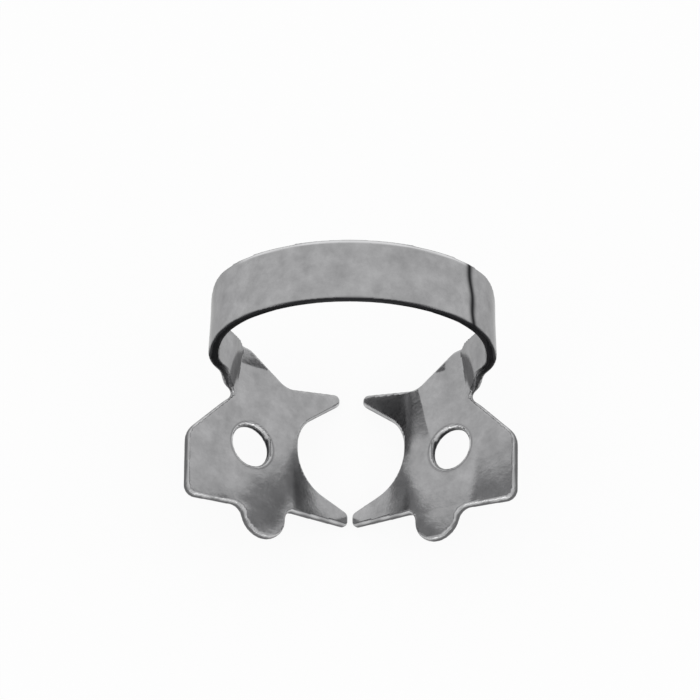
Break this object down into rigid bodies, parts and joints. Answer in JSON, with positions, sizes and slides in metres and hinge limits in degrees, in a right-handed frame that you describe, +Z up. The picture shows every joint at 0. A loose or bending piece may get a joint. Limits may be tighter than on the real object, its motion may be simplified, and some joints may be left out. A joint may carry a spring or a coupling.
{
  "type": "rubber dam clamp",
  "caption": "One-piece sprung steel dental clamp: an arched bow joins flat winged jaws, each with a forceps hole, a rounded front tab and pointed prongs that grip a molar.",
  "frame": {"origin": "centre of the bounding box on the surface the clamp stands on", "axes": "+X to the right across the two jaws, seen from the front; +Y towards the back, where the bow is; +Z up"},
  "size_m": [0.0246, 0.0172, 0.0222],
  "materials": {
    "steel": "tumbled and polished spring steel"
  },
  "bodies": {
    "root": {"clamp": "steel"}
  },
  "joints": []
}
